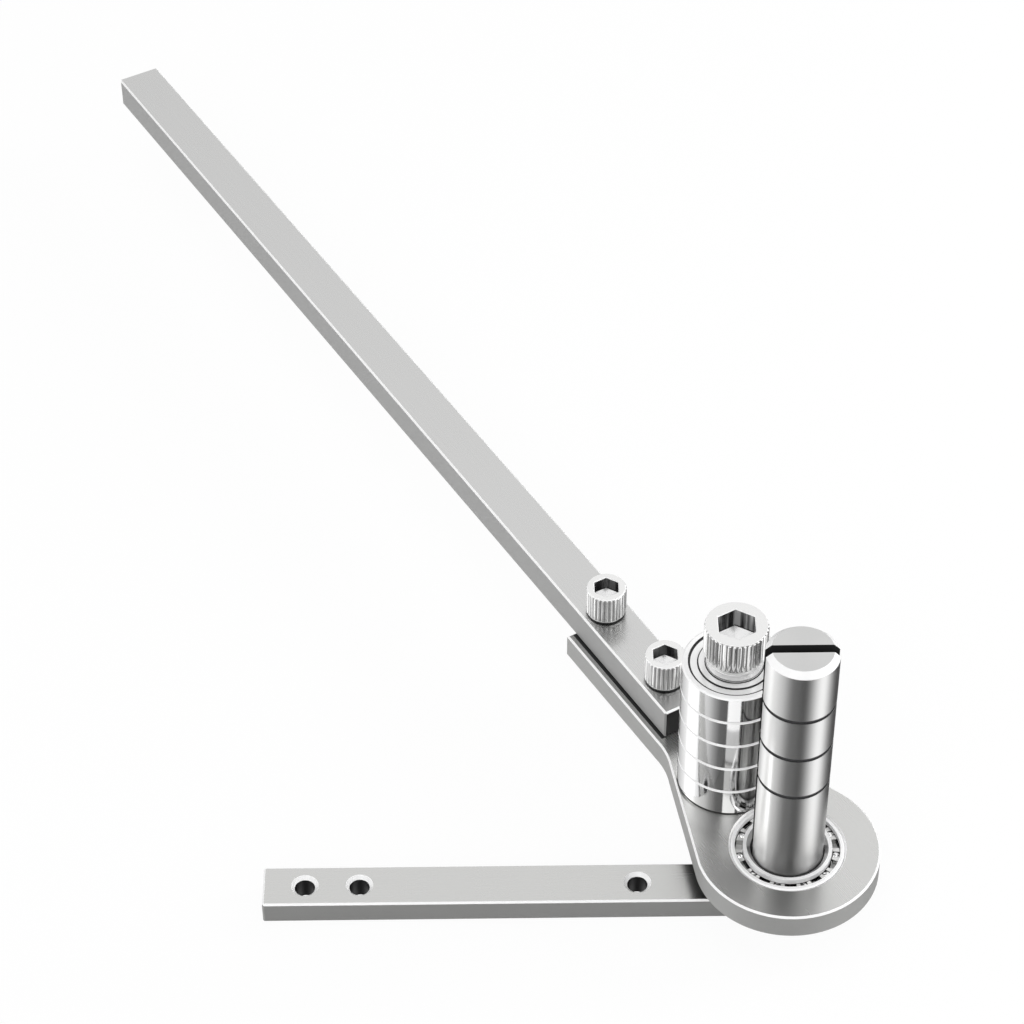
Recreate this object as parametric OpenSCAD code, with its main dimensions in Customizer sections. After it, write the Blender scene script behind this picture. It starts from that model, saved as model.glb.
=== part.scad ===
// Flat bar bender. A base bar carries a slotted pivot pin, and a swing arm turns about the pin on an open
// ball bearing. The arm holds a roller of five shielded ball bearings and a long handle bar.
// The origin is on the pivot axis, at the underside of the base bar. +Z is up. The base bar lies along -X.

/* [Base bar] */
// Thickness of the base bar
bar_thick = 5.6; // [5:0.1:12]
// Width of the base bar
bar_width = 10.4; // [10:0.1:16]
// Pivot axis to the free end of the base bar
bar_reach = 110.8; // [80:0.1:200]
// Pivot axis to the end of the base bar that lies under the arm
bar_tail = 9; // [8.5:0.1:18]
// Diameter of the three fixing holes
fix_hole_dia = 4.3; // [3:0.1:5]
// Diameter of the bevelled mouth of a fixing hole
fix_mouth_dia = 5.9; // [5.2:0.1:8]
// Free end of the bar to the first fixing hole
fix_end_inset = 8.9; // [6:0.1:20]
// First fixing hole to the second
fix_pair_gap = 11.6; // [9:0.1:30]
// Pivot axis to the third fixing hole
fix_near_x = 31.3; // [22:0.1:50]
// Bevel on the edges of the bars and of the arm plate
edge_bevel = 0.4; // [0.2:0.1:0.8]

/* [Pivot pin] */
// Diameter of the pivot pin, which is also the bore of the pivot bearing
pin_dia = 15; // [12:0.1:15.4]
// Underside of the base bar to the top of the pin
pin_top = 75.7; // [55:0.1:100]
// Bevel round the top of the pin
pin_bevel = 1.25; // [0.4:0.05:2]
// Width of the slot that grips the strip
slot_width = 2.1; // [1:0.1:4]
// Arm plate to the floor of the slot
slot_floor = 1.5; // [0.5:0.1:20]
// Top of the pin to the first depth mark
mark_top_drop = 13.5; // [6:0.1:20]
// One depth mark to the next
mark_pitch = 11.1; // [4:0.1:13]
// Width of a depth mark
mark_width = 0.9; // [0.2:0.05:1.2]
// Depth of a depth mark
mark_depth = 0.3; // [0.1:0.05:0.6]
// Diameter of the spigot on the pin's foot, which fills a hole in the base bar
spigot_dia = 7; // [5:0.1:7.6]
// Diameter of the cross pin that locks the spigot in the base bar
cross_pin_dia = 2.5; // [1.5:0.1:3]

/* [Pivot bearing] */
// Outer diameter of the pivot bearing
pivot_od = 24; // [23.6:0.1:27]
// Width of the pivot bearing
pivot_width = 4.2; // [4:0.1:5.4]
// Outside diameter of the inner ring
pivot_inner_land = 18.8; // [18.5:0.1:19]
// Inside diameter of the outer ring
pivot_outer_land = 22.2; // [21.9:0.1:22.3]
// Diameter of the balls
pivot_ball_dia = 2.38; // [2.2:0.01:2.5]
// Number of balls
pivot_ball_count = 11; // [8:1:14]

/* [Arm plate] */
// Base bar to the underside of the arm plate
plate_gap = 5; // [2:0.1:10]
// Thickness of the arm plate
plate_thick = 6.1; // [6:0.1:10]
// Diameter of the round end about the pivot
round_dia = 39; // [35:0.1:50]
// Width of the arm behind the round end
arm_width = 15; // [13:0.1:22]
// Pivot axis to the far end of the arm plate
arm_reach = 76.8; // [76:0.1:110]
// Angle between the neck's tapering edge and the arm's centre line
neck_taper = 20.5; // [17:0.5:30]
// Radius of the hollow curve where the neck meets the arm
neck_fillet = 16; // [4:0.5:30]
// Direction of the arm, counted from +X round to +Y
arm_angle = 120; // [60:1:300]

/* [Roller] */
// Pivot axis to roller axis
roller_offset = 22.8; // [22:0.1:23.4]
// Outer diameter of one roller bearing
roller_od = 22; // [21.5:0.1:24]
// Bore of one roller bearing, which is also the bolt's diameter
roller_bore = 8; // [7:0.1:8.4]
// Width of one roller bearing
roller_width = 7; // [7:0.1:8]
// Outside diameter of an inner ring
roller_inner_land = 12.1; // [12:0.1:12.4]
// Inside diameter of an outer ring
roller_outer_land = 17.9; // [17.6:0.1:18]
// Diameter of the balls in a roller bearing
roller_ball_dia = 3.97; // [3.9:0.01:4]
// Number of balls in a roller bearing
roller_ball_count = 7; // [6:1:7]
// Diameter of the seat that a shield is pressed into
shield_seat_dia = 19.4; // [19:0.1:19.6]
// Thickness of the washer under the roller
shim_thick = 0.3; // [0.2:0.1:1]
// Outer diameter of the washer under the roller
shim_od = 11.6; // [10:0.1:12]
// Height of the bush between the roller and the bolt head
bush_height = 2.2; // [1:0.1:6]
// Outer diameter of the bush
bush_od = 12; // [10.5:0.1:12]
// Head diameter of the roller bolt
bolt_head_dia = 13.4; // [12:0.1:14]
// Head height of the roller bolt
bolt_head_height = 8.8; // [7:0.1:10]
// Key size of the roller bolt
bolt_key = 7.6; // [6:0.1:8.2]
// Depth of the roller bolt's socket
bolt_key_depth = 4.8; // [3:0.1:5.5]
// Length of the roller bolt under its head
bolt_length = 45; // [42:0.5:47]

/* [Handle] */
// Width of the handle bar
handle_width = 11; // [10:0.1:14]
// Thickness of the handle bar
handle_thick = 7.65; // [6:0.05:12]
// Pivot axis to the near end of the handle bar
handle_start = 39.3; // [38.5:0.1:41]
// Length of the handle bar
handle_length = 273.5; // [150:0.5:400]
// Radius of the upright corners at the far end
handle_corner = 1.2; // [0.6:0.1:3]
// Near end of the handle bar to the first screw
screw_inset = 9.1; // [7:0.1:12]
// First handle screw to the second
screw_gap = 24.2; // [18:0.1:26]
// Diameter of the two handle screws
screw_dia = 5; // [4:0.1:5.5]
// Length of the handle screws under the head
screw_length = 12; // [10:0.5:13.5]
// Head diameter of the handle screws
screw_head_dia = 9; // [8:0.1:10]
// Head height of the handle screws
screw_head_height = 7.5; // [5:0.1:8]
// Key size of the handle screws
screw_key = 5.3; // [3:0.1:5.6]
// Depth of the handle screws' sockets
screw_key_depth = 3.3; // [2:0.1:4]

/* [Fits] */
// Gap all round a screw, pin or ring in its hole
fit_gap = 0.04; // [0.02:0.01:0.08]
// Play of a ball in its track and of the cage on the balls
ball_play = 0.06; // [0.03:0.01:0.08]
// Gap between two rings that turn past each other
ring_gap = 0.1; // [0.06:0.02:0.16]

/* [Hidden] */
roller_count = 5;
$fn = 96;
// Extra length of a cut, so that it runs clear of the face it opens
clear = 1;

// Heights above the underside of the base bar
plate_z = bar_thick + plate_gap;
plate_top = plate_z + plate_thick;
seat_z = plate_top - pivot_width;
roller_z = plate_top + shim_thick;
roller_top = roller_z + roller_count * roller_width;
bolt_head_z = roller_top + bush_height;
handle_top = plate_top + handle_thick;

// Pitch circles of the balls lie midway between the rings' facing walls
pivot_pitch = (pivot_inner_land + pivot_outer_land) / 2;
roller_pitch = (roller_inner_land + roller_outer_land) / 2;

// Neck of the arm plate, with the arm along +X. Where a straight edge meets a curve, one of them is set
// in by a hair, so that the two cross cleanly instead of touching along a line
hair = 0.03;
round_r = round_dia / 2;
arm_half = arm_width / 2;
neck_out = [sin(neck_taper), cos(neck_taper)];
neck_run = [cos(neck_taper), -sin(neck_taper)];
neck_reach = round_r - hair;
neck_lap = 1.5;
neck_start = neck_reach * neck_out - neck_lap * neck_run;
fillet_x = (neck_reach + neck_fillet - (arm_half + neck_fillet) * neck_out[1]) / neck_out[0];
fillet_centre = [fillet_x, arm_half + neck_fillet];
fillet_r = neck_fillet + hair;
neck_end = fillet_centre - neck_fillet * neck_out;
arm_start = [fillet_x, arm_half];
arm_end = [arm_reach, arm_half];

// Distance of each handle screw from the pivot axis
screw_rows = [handle_start + screw_inset, handle_start + screw_inset + screw_gap];

// Sections of the shared details
ring_bevel = 0.35;
sleeve_bevel = 0.3;
head_bevel = 0.3;
tip_bevel = 0.6;
cross_pin_bevel = 0.3;

// Cone under a screw's head: how far its foot stands in from the head's side, and its height
bolt_cone = [0.55, 1.3];
screw_cone = [0.35, 0.9];

// Pivot bearing: wide bevel round the pin, mouth of the seat, and direction of the first ball from +X
pivot_bore_mouth = 1.1;
seat_mouth = 0.4;
pivot_ball_turn = 24.5;

// The plate's lip stands in under the outer ring, and the spacer stays in from the inner ring's land
seat_step = 0.3;
lip_dia = pivot_outer_land - 2 * seat_step;

// Shields: sheet thickness, depth below the ring's face, raised middle, and gap round the inner ring
shield_thick = 0.35;
shield_drop = 0.35;
shield_rise = 0.25;
shield_rise_dia = 15.4;
shield_gap = 0.2;
shield_seat = shield_drop + shield_thick;

// Cages: gap to the rings, wall beside a ball, back ring under a ball, and height above the balls' centres
cage_gap = 0.15;
cage_finger = 0.4;
cage_back = 0.5;
cage_rise = 1;

// Turns its children to the arm's direction
module along_arm() {
    rotate([0, 0, arm_angle]) children();
}

// Moves its children to the roller's axis
module on_roller(z = 0) {
    along_arm() translate([roller_offset, 0, z]) children();
}

// A rectangle centred on the origin with its four corners bevelled
module bevelled_rect(w, h, bevel) {
    x = w / 2;
    y = h / 2;
    polygon([
        [-x + bevel, -y], [x - bevel, -y], [x, -y + bevel], [x, y - bevel],
        [x - bevel, y], [-x + bevel, y], [-x, y - bevel], [-x, -y + bevel]
    ]);
}

// A flat bar from x0 to x1, resting on z = 0, with every edge bevelled
module flat_bar(x0, x1, w, h, bevel) {
    length = x1 - x0;
    intersection() {
        translate([x0, 0, h / 2]) rotate([90, 0, 90]) linear_extrude(length) bevelled_rect(w, h, bevel);
        translate([(x0 + x1) / 2, w / 2, h / 2]) rotate([90, 0, 0])
            linear_extrude(w) bevelled_rect(length, h, bevel);
        translate([(x0 + x1) / 2, 0, 0]) linear_extrude(h) bevelled_rect(length, w, bevel);
    }
}

// Section of a ring between two radii, with its outer or inner corners bevelled
module ring_section(r_in, r_out, z0, z1, bevel_in, bevel_out) {
    polygon([
        [r_in, z0 + bevel_in], [r_in + bevel_in, z0], [r_out - bevel_out, z0], [r_out, z0 + bevel_out],
        [r_out, z1 - bevel_out], [r_out - bevel_out, z1], [r_in + bevel_in, z1], [r_in, z1 - bevel_in]
    ]);
}

// Section of a rod of one radius, standing on z = 0, with both ends bevelled
module rod_section(r, length, bevel) {
    polygon([[0, 0], [r - bevel, 0], [r, bevel], [r, length - bevel], [r - bevel, length], [0, length]]);
}

// Section of the groove that the balls run in
module ball_track(pitch_dia, width, ball_dia) {
    translate([pitch_dia / 2, width / 2]) circle(d = ball_dia + 2 * ball_play);
}

// Inner ring of a ball bearing, standing on z = 0
module inner_ring(bore, land, width, pitch_dia, ball_dia) {
    rotate_extrude() difference() {
        ring_section(bore / 2 + fit_gap, land / 2, 0, width, ring_bevel, 0);
        ball_track(pitch_dia, width, ball_dia);
    }
}

// Outer ring of a ball bearing, cut back by half the ring gap at both faces when it runs beside another
module outer_ring(land, od, width, pitch_dia, ball_dia, cut_back) {
    rotate_extrude() difference() {
        ring_section(land / 2, od / 2, cut_back, width - cut_back, 0, ring_bevel);
        ball_track(pitch_dia, width, ball_dia);
    }
}

// One ball at each place of a bearing
module ball_places(pitch_dia, width, count) {
    for (i = [0:count - 1])
        rotate([0, 0, i * 360 / count]) translate([pitch_dia / 2, 0, width / 2]) children();
}

// Crown cage. A thin back ring joins the fingers, and each ball snaps into a drilled pocket between two
// fingers. Square windows open the ring between one ball's fingers and the next ball's
module crown_cage(lands, width, pitch_dia, ball_dia, count) {
    r_in = lands[0] / 2 + cage_gap;
    r_out = lands[1] / 2 - cage_gap;
    pocket = ball_dia + 2 * ball_play;
    back_z = width / 2 - pocket / 2 - cage_back;
    step = 360 / count;
    window = pitch_dia * sin(step / 2) - pocket - 2 * cage_finger;
    cut = r_out - r_in + 2 * clear;
    difference() {
        rotate_extrude() ring_section(r_in, r_out, back_z, width / 2 + cage_rise, 0, 0);
        ball_places(pitch_dia, width, count) rotate([0, 90, 0]) cylinder(d = pocket, h = cut, center = true);
        for (i = [0:count - 1]) rotate([0, 0, (i + 0.5) * step])
            translate([r_in - clear, -window / 2, width / 2 - cage_finger]) cube([cut, window, width]);
    }
}

// Pressed shield with its middle raised towards the ring's face
module shield() {
    r_seat = shield_seat_dia / 2 - fit_gap;
    r_rise = shield_rise_dia / 2;
    r_lip = roller_inner_land / 2 + shield_gap;
    top = shield_thick + shield_rise;
    rotate_extrude() polygon([
        [r_lip, shield_rise], [r_rise - shield_rise, shield_rise], [r_rise, 0], [r_seat, 0],
        [r_seat, shield_thick], [r_rise, shield_thick], [r_rise, top], [r_lip, top]
    ]);
}

// Socket head cap screw with its head standing on z = 0 and its shank below
module cap_screw(head_dia, head_height, cone, key, key_depth, dia, length) {
    r = head_dia / 2;
    difference() {
        rotate_extrude() polygon([
            [0, -length], [dia / 2 - tip_bevel, -length], [dia / 2, tip_bevel - length], [dia / 2, 0],
            [r - cone[0], 0], [r, cone[1]], [r, head_height - head_bevel],
            [r - head_bevel, head_height], [0, head_height]
        ]);
        // The socket's corners point away from the camera side and towards it, along Y
        translate([0, 0, head_height - key_depth]) rotate([0, 0, 30 - arm_angle])
            cylinder(d = key / cos(30), h = key_depth + clear, $fn = 6);
    }
}

// Hole for the cross pin, along Y through the base bar and the spigot
module cross_hole() {
    translate([0, 0, bar_thick / 2]) rotate([90, 0, 0])
        cylinder(d = cross_pin_dia + 2 * fit_gap, h = bar_width + 2 * clear, center = true);
}

// Bar with a bevelled mouth on each fixing hole, and the holes for the pin's spigot and its cross pin
module base_bar() {
    mouth = (fix_mouth_dia - fix_hole_dia) / 2;
    color([0.62, 0.62, 0.61]) difference() {
        flat_bar(-bar_reach, bar_tail, bar_width, bar_thick, edge_bevel);
        for (x = [fix_end_inset - bar_reach, fix_end_inset + fix_pair_gap - bar_reach, -fix_near_x])
            translate([x, 0, 0]) {
                translate([0, 0, -clear]) cylinder(d = fix_hole_dia, h = bar_thick + 2 * clear);
                translate([0, 0, bar_thick - mouth])
                    cylinder(d1 = fix_hole_dia, d2 = fix_mouth_dia + 2 * clear, h = mouth + clear);
            }
        translate([0, 0, -clear]) cylinder(d = spigot_dia + 2 * fit_gap, h = bar_thick + 2 * clear);
        cross_hole();
    }
}

// Pin with a slot across it from the top, three turned depth marks and a spigot on its foot
module pivot_pin() {
    r = pin_dia / 2;
    slot_z = plate_top + slot_floor;
    color([0.72, 0.72, 0.71]) difference() {
        rotate_extrude() polygon([
            [0, 0], [spigot_dia / 2, 0], [spigot_dia / 2, bar_thick], [r, bar_thick],
            [r, pin_top - pin_bevel], [r - pin_bevel, pin_top], [0, pin_top]
        ]);
        for (i = [0:2]) translate([0, 0, pin_top - mark_top_drop - i * mark_pitch - mark_width / 2])
            rotate_extrude() polygon([
                [r - mark_depth, 0], [r + clear, 0], [r + clear, mark_width], [r - mark_depth, mark_width]
            ]);
        translate([-pin_dia, -slot_width / 2, slot_z]) cube([2 * pin_dia, slot_width, pin_top]);
        cross_hole();
    }
}

// Cross pin, flush with both sides of the base bar
module cross_pin() {
    r = cross_pin_dia / 2;
    color([0.55, 0.55, 0.56]) translate([0, bar_width / 2, bar_thick / 2]) rotate([90, 0, 0])
        rotate_extrude() rod_section(r, bar_width, cross_pin_bevel);
}

// Sleeve that carries the inner ring above the base bar
module pivot_spacer() {
    r_out = pivot_inner_land / 2 - seat_step;
    color([0.6, 0.6, 0.62]) rotate_extrude()
        ring_section(pin_dia / 2 + fit_gap, r_out, bar_thick, seat_z, 0, sleeve_bevel);
}

// Inner ring with a wide bevel round the pin
module pivot_inner_ring() {
    cut = pivot_bore_mouth + clear;
    color([0.8, 0.8, 0.8]) translate([0, 0, seat_z]) difference() {
        inner_ring(pin_dia, pivot_inner_land, pivot_width, pivot_pitch, pivot_ball_dia);
        translate([0, 0, pivot_width - pivot_bore_mouth])
            cylinder(d1 = pin_dia, d2 = pin_dia + 2 * cut, h = cut);
    }
}

module pivot_outer_ring() {
    color([0.82, 0.82, 0.82]) translate([0, 0, seat_z])
        outer_ring(pivot_outer_land, pivot_od, pivot_width, pivot_pitch, pivot_ball_dia, 0);
}

module pivot_cage() {
    lands = [pivot_inner_land, pivot_outer_land];
    color([0.5, 0.5, 0.48]) translate([0, 0, seat_z]) rotate([0, 0, pivot_ball_turn])
        crown_cage(lands, pivot_width, pivot_pitch, pivot_ball_dia, pivot_ball_count);
}

module pivot_balls() {
    color([0.9, 0.9, 0.9]) translate([0, 0, seat_z]) rotate([0, 0, pivot_ball_turn])
        ball_places(pivot_pitch, pivot_width, pivot_ball_count) sphere(d = pivot_ball_dia);
}

// Blank of the arm plate with the arm along +X. The straight edges are one outline. Cutters then turn the
// round end and hollow each corner between the neck and the arm
module plate_blank() {
    flip = function(p) [p[0], -p[1]];
    corner = [round_r + clear, round_r + clear];
    difference() {
        linear_extrude(plate_thick) polygon([
            -corner, [neck_start[0], -corner[1]],
            flip(neck_start), flip(neck_end), flip(arm_start), flip(arm_end),
            arm_end, arm_start, neck_end, neck_start,
            [neck_start[0], corner[1]], [-corner[0], corner[1]]
        ]);
        rotate([0, 0, 90 - neck_taper]) rotate_extrude(angle = 180 + 2 * neck_taper)
            translate([round_r, -clear]) square([round_r, plate_thick + 2 * clear]);
        for (side = [1, -1]) translate([fillet_centre[0], side * fillet_centre[1], -clear])
            cylinder(r = fillet_r, h = plate_thick + 2 * clear);
    }
}

// Wedge under z = 0 that leaves a bevel on an edge. The metal lies towards -X
module bevel_wedge() {
    over = 0.5;
    polygon([[-edge_bevel - over, over], [over, -edge_bevel - over], [over, over]]);
}

// Bevels a straight edge from one point to another, with the metal on the right
module bevel_line(from, to) {
    run = to - from;
    translate(from) rotate([0, 0, atan2(run[1], run[0])]) rotate([90, 0, 90])
        linear_extrude(norm(run)) bevel_wedge();
}

// Bevels the whole rim of the arm plate at z = 0, from the round end to the arm's square end
module bevel_rim() {
    lap = 8;
    rotate([0, 0, 90 - neck_taper]) rotate_extrude(angle = 180 + 2 * neck_taper)
        translate([round_r, 0]) bevel_wedge();
    for (side = [0, 1]) mirror([0, side, 0]) {
        bevel_line(neck_start, neck_end);
        bevel_line(arm_start, arm_end);
        translate(fillet_centre) rotate([0, 0, 270 - neck_taper - lap])
            rotate_extrude(angle = neck_taper + 2 * lap)
                translate([fillet_r, 0]) mirror([1, 0]) bevel_wedge();
    }
    bevel_line(arm_end, [arm_reach, -arm_half]);
}

// Arm plate with the bearing's seat, the roller bolt's hole and the two handle screws' holes
module swivel_plate() {
    seat_dia = pivot_od + 2 * fit_gap;
    color([0.74, 0.74, 0.73]) along_arm() difference() {
        translate([0, 0, plate_z]) plate_blank();
        translate([0, 0, plate_top]) bevel_rim();
        translate([0, 0, plate_z]) mirror([0, 0, 1]) bevel_rim();
        translate([0, 0, seat_z]) cylinder(d = seat_dia, h = pivot_width + clear);
        translate([0, 0, plate_top - seat_mouth])
            cylinder(d1 = seat_dia, d2 = seat_dia + 2 * (seat_mouth + clear), h = seat_mouth + clear);
        translate([0, 0, plate_z - clear]) cylinder(d = lip_dia, h = plate_thick);
        translate([roller_offset, 0, plate_z - clear])
            cylinder(d = roller_bore + 2 * fit_gap, h = plate_thick + 2 * clear);
        for (x = screw_rows) translate([x, 0, plate_z - clear])
            cylinder(d = screw_dia + 2 * fit_gap, h = plate_thick + 2 * clear);
    }
}

// Handle bar, with its upright corners rounded at the far end
module handle_bar() {
    x_end = handle_start + handle_length;
    y = handle_width / 2;
    color([0.7, 0.7, 0.69]) along_arm() difference() {
        intersection() {
            translate([0, 0, plate_top])
                flat_bar(handle_start, x_end, handle_width, handle_thick, edge_bevel);
            translate([0, 0, plate_top]) linear_extrude(handle_thick) union() {
                translate([handle_start, -y]) square([handle_length - handle_corner, handle_width]);
                translate([handle_start, handle_corner - y])
                    square([handle_length, handle_width - 2 * handle_corner]);
                for (side = [1, -1])
                    translate([x_end - handle_corner, side * (y - handle_corner)]) circle(r = handle_corner);
            }
        }
        for (x = screw_rows) translate([x, 0, plate_top - clear])
            cylinder(d = screw_dia + 2 * fit_gap, h = handle_thick + 2 * clear);
    }
}

// The two screws that hold the handle bar on the arm plate
module handle_screws() {
    color([0.85, 0.85, 0.85]) along_arm() for (x = screw_rows) translate([x, 0, handle_top])
        cap_screw(screw_head_dia, screw_head_height, screw_cone, screw_key, screw_key_depth,
            screw_dia, screw_length);
}

// Bolt that is the roller's axle, screwed into the arm plate
module roller_bolt() {
    color([0.85, 0.85, 0.85]) on_roller(bolt_head_z)
        cap_screw(bolt_head_dia, bolt_head_height, bolt_cone, bolt_key, bolt_key_depth,
            roller_bore, bolt_length);
}

// Bush that keeps the bolt's head off the turning rings
module roller_bush() {
    color([0.8, 0.8, 0.8]) on_roller() rotate_extrude()
        ring_section(roller_bore / 2 + fit_gap, bush_od / 2, roller_top, bolt_head_z, 0, sleeve_bevel);
}

// Washer that keeps the lowest ring off the arm plate
module roller_shim() {
    color([0.5, 0.5, 0.5]) on_roller() rotate_extrude()
        ring_section(roller_bore / 2 + fit_gap, shim_od / 2, plate_top, roller_z, 0, 0);
}

// Moves its children to the underside of one of the roller's bearings
module on_bearing(k) {
    on_roller(roller_z + (k - 1) * roller_width) children();
}

module roller_inner_ring(k) {
    color([0.78, 0.78, 0.78]) on_bearing(k)
        inner_ring(roller_bore, roller_inner_land, roller_width, roller_pitch, roller_ball_dia);
}

// Outer ring with a seat for the shield at each face
module roller_outer_ring(k) {
    color([0.8, 0.8, 0.8]) on_bearing(k) difference() {
        outer_ring(roller_outer_land, roller_od, roller_width, roller_pitch, roller_ball_dia, ring_gap / 2);
        for (z = [-clear, roller_width - shield_seat])
            translate([0, 0, z]) cylinder(d = shield_seat_dia, h = shield_seat + clear);
    }
}

module roller_shields(k) {
    color([0.75, 0.75, 0.75]) on_bearing(k) {
        translate([0, 0, roller_width - shield_seat]) shield();
        translate([0, 0, shield_seat]) mirror([0, 0, 1]) shield();
    }
}

module roller_cage(k) {
    lands = [roller_inner_land, roller_outer_land];
    color([0.5, 0.5, 0.48]) on_bearing(k)
        crown_cage(lands, roller_width, roller_pitch, roller_ball_dia, roller_ball_count);
}

module roller_balls(k) {
    color([0.9, 0.9, 0.9]) on_bearing(k)
        ball_places(roller_pitch, roller_width, roller_ball_count) sphere(d = roller_ball_dia);
}

base_bar();
pivot_pin();
cross_pin();
pivot_spacer();
pivot_inner_ring();
pivot_outer_ring();
pivot_cage();
pivot_balls();
swivel_plate();
handle_bar();
handle_screws();
roller_bolt();
roller_bush();
roller_shim();
for (k = [1:roller_count]) {
    roller_inner_ring(k);
    roller_outer_ring(k);
    roller_shields(k);
    roller_cage(k);
    roller_balls(k);
}
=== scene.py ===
"""Dressing for a bench bender for flat strip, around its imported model.

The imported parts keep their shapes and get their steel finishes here. The three socket head screws are
rebuilt with knurled heads, and a small photographic studio is set up around the tool.
"""

import math
from typing import NamedTuple

import bmesh
import bpy
from bpy.props import FloatProperty, FloatVectorProperty, IntProperty, PointerProperty
from bpy.types import Operator, Panel, PropertyGroup
from mathutils import Matrix, Vector


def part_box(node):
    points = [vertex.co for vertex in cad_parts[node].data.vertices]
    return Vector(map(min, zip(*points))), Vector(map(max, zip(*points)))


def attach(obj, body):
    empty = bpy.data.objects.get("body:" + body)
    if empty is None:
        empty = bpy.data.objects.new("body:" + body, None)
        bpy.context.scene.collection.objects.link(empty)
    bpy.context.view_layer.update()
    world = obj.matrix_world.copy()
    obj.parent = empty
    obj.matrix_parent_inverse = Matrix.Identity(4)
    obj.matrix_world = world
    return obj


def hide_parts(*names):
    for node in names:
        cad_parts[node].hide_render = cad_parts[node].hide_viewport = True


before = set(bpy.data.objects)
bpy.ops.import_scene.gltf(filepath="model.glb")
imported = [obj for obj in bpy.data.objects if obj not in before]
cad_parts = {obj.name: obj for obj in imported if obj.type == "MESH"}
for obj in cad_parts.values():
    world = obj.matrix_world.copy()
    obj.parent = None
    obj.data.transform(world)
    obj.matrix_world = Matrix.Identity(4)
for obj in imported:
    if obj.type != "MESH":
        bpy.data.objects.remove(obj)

bl_info = {
    "name": "Flat Bar Bender Dressing",
    "version": (1, 0, 0),
    "blender": (4, 5, 0),
    "location": "View3D > Sidebar > Bender",
    "description": "Steel finishes, knurled screws and a studio for a bench bender",
    "category": "Object",
}

MM = 0.001
# Direction of the arm at rest, turned from +X
ARM_TURN = math.radians(120)
# Millimetres from the pivot's axis to the roller's
ROLLER_OFFSET = 22.8
# Numbers of the roller's bearings
BEARINGS = range(1, 6)
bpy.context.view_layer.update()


# Sizes and colours that a user would change


def colour(name, text, value):
    """A colour setting."""
    return FloatVectorProperty(
        name=name, description=text, subtype="COLOR", size=3, min=0, max=1, default=value
    )


def length(name, text, millimetres):
    """A length setting, kept in metres."""
    return FloatProperty(
        name=name, description=text, subtype="DISTANCE", unit="LENGTH", min=0, precision=5,
        default=millimetres * MM,
    )


def share(name, text, value):
    """A setting from 0 to 1."""
    return FloatProperty(name=name, description=text, subtype="FACTOR", min=0, max=1, default=value)


def ridges(name, text, count):
    """The number of a knurl's ridges."""
    return IntProperty(name=name, description=text, min=12, max=90, default=count)


def brightness(name, text, value):
    """A brightness, where 1 is white."""
    return FloatProperty(name=name, description=text, min=0, max=4, default=value)


def power(name, text, watts):
    """The power of a lamp."""
    return FloatProperty(
        name=name, description=text, subtype="POWER", unit="POWER", min=0, default=watts
    )


class BenderFinishSettings(PropertyGroup):
    """Colours and polish of the steel."""

    bar_colour: colour("Base Bar", "Colour of the base bar's ground steel", (0.62, 0.62, 0.61))
    plate_colour: colour("Arm Plate", "Colour of the arm plate's ground steel", (0.64, 0.64, 0.63))
    handle_colour: colour("Handle", "Colour of the handle bar's ground steel", (0.64, 0.64, 0.635))
    pin_colour: colour("Pivot Pin", "Colour of the turned and polished pin", (0.69, 0.69, 0.685))
    ring_colour: colour("Bearing Rings", "Colour of the ground bearing rings", (0.86, 0.86, 0.86))
    ball_colour: colour("Balls", "Colour of the bearing balls", (0.9, 0.9, 0.9))
    cage_colour: colour("Cages", "Colour of the pressed cages", (0.8, 0.8, 0.79))
    shield_colour: colour("Shields", "Colour of the pressed bearing shields", (0.94, 0.94, 0.94))
    screw_colour: colour("Screws", "Colour of the bright plated screws", (0.8, 0.8, 0.795))
    # Painted highlight: near-white colour on bevels, bearing ring faces, the pivot bearing's upper gap
    # walls and the drill points
    painted_highlight_colour: colour("Edges", "Colour of fresh bevels, ring faces and drill points", (0.97, 0.97, 0.97))
    # The lighter streaks on socket walls, over the painted shade there
    socket_colour: colour("Sockets", "Colour of the light streaks in the sockets", (0.45, 0.45, 0.45))
    # Painted shade in the grooves of the knurls
    groove_shade_colour: colour("Grooves", "Colour in the grooves of the knurls", (0.3, 0.3, 0.3))
    mark_colour: colour("Marks", "Colour of the turned depth marks", (0.045, 0.045, 0.047))
    # Painted shade: near-black colour in the holes, slot and sockets, in the bearings' gaps and on their
    # cages and shields, under, beside and at the near end of the handle, and at the feet of the bush and
    # the handle screws
    painted_shade_colour: colour("Recesses", "Colour of milled slots, sockets and gaps", (0.012, 0.012, 0.0125))
    ground_roughness: share("Ground Roughness", "Roughness of the ground bars and the arm plate", 0.27)
    turned_roughness: share("Turned Roughness", "Roughness of the turned pin", 0.33)
    polished_roughness: share("Polished Roughness", "Roughness of rings, shields and screws", 0.1)
    grain_depth: length("Grain Depth", "Depth of the grinding lines in the surface", 0.00025)


class BenderScrewSettings(PropertyGroup):
    """Sizes of the knurled socket head screws."""

    bolt_knurls: ridges("Bolt Knurls", "Ridges round the roller bolt's head", 39)
    screw_knurls: ridges("Screw Knurls", "Ridges round a handle screw's head", 30)
    bolt_knurl_depth: length("Bolt Knurl Depth", "Depth of the ridges on the roller bolt's head", 0.28)
    screw_knurl_depth: length("Screw Knurl Depth", "Depth of the ridges on a handle screw's head", 0.14)
    bolt_key: length("Bolt Key", "Width across the flats of the roller bolt's socket", 7.6)
    bolt_key_depth: length("Bolt Key Depth", "Depth of the roller bolt's socket", 4.8)
    screw_key: length("Screw Key", "Width across the flats of a handle screw's socket", 5.3)
    screw_key_depth: length("Screw Key Depth", "Depth of a handle screw's socket", 3.3)
    mouth_bevel: length("Mouth Bevel", "Bevel round the mouth of a socket", 0.2)


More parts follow.
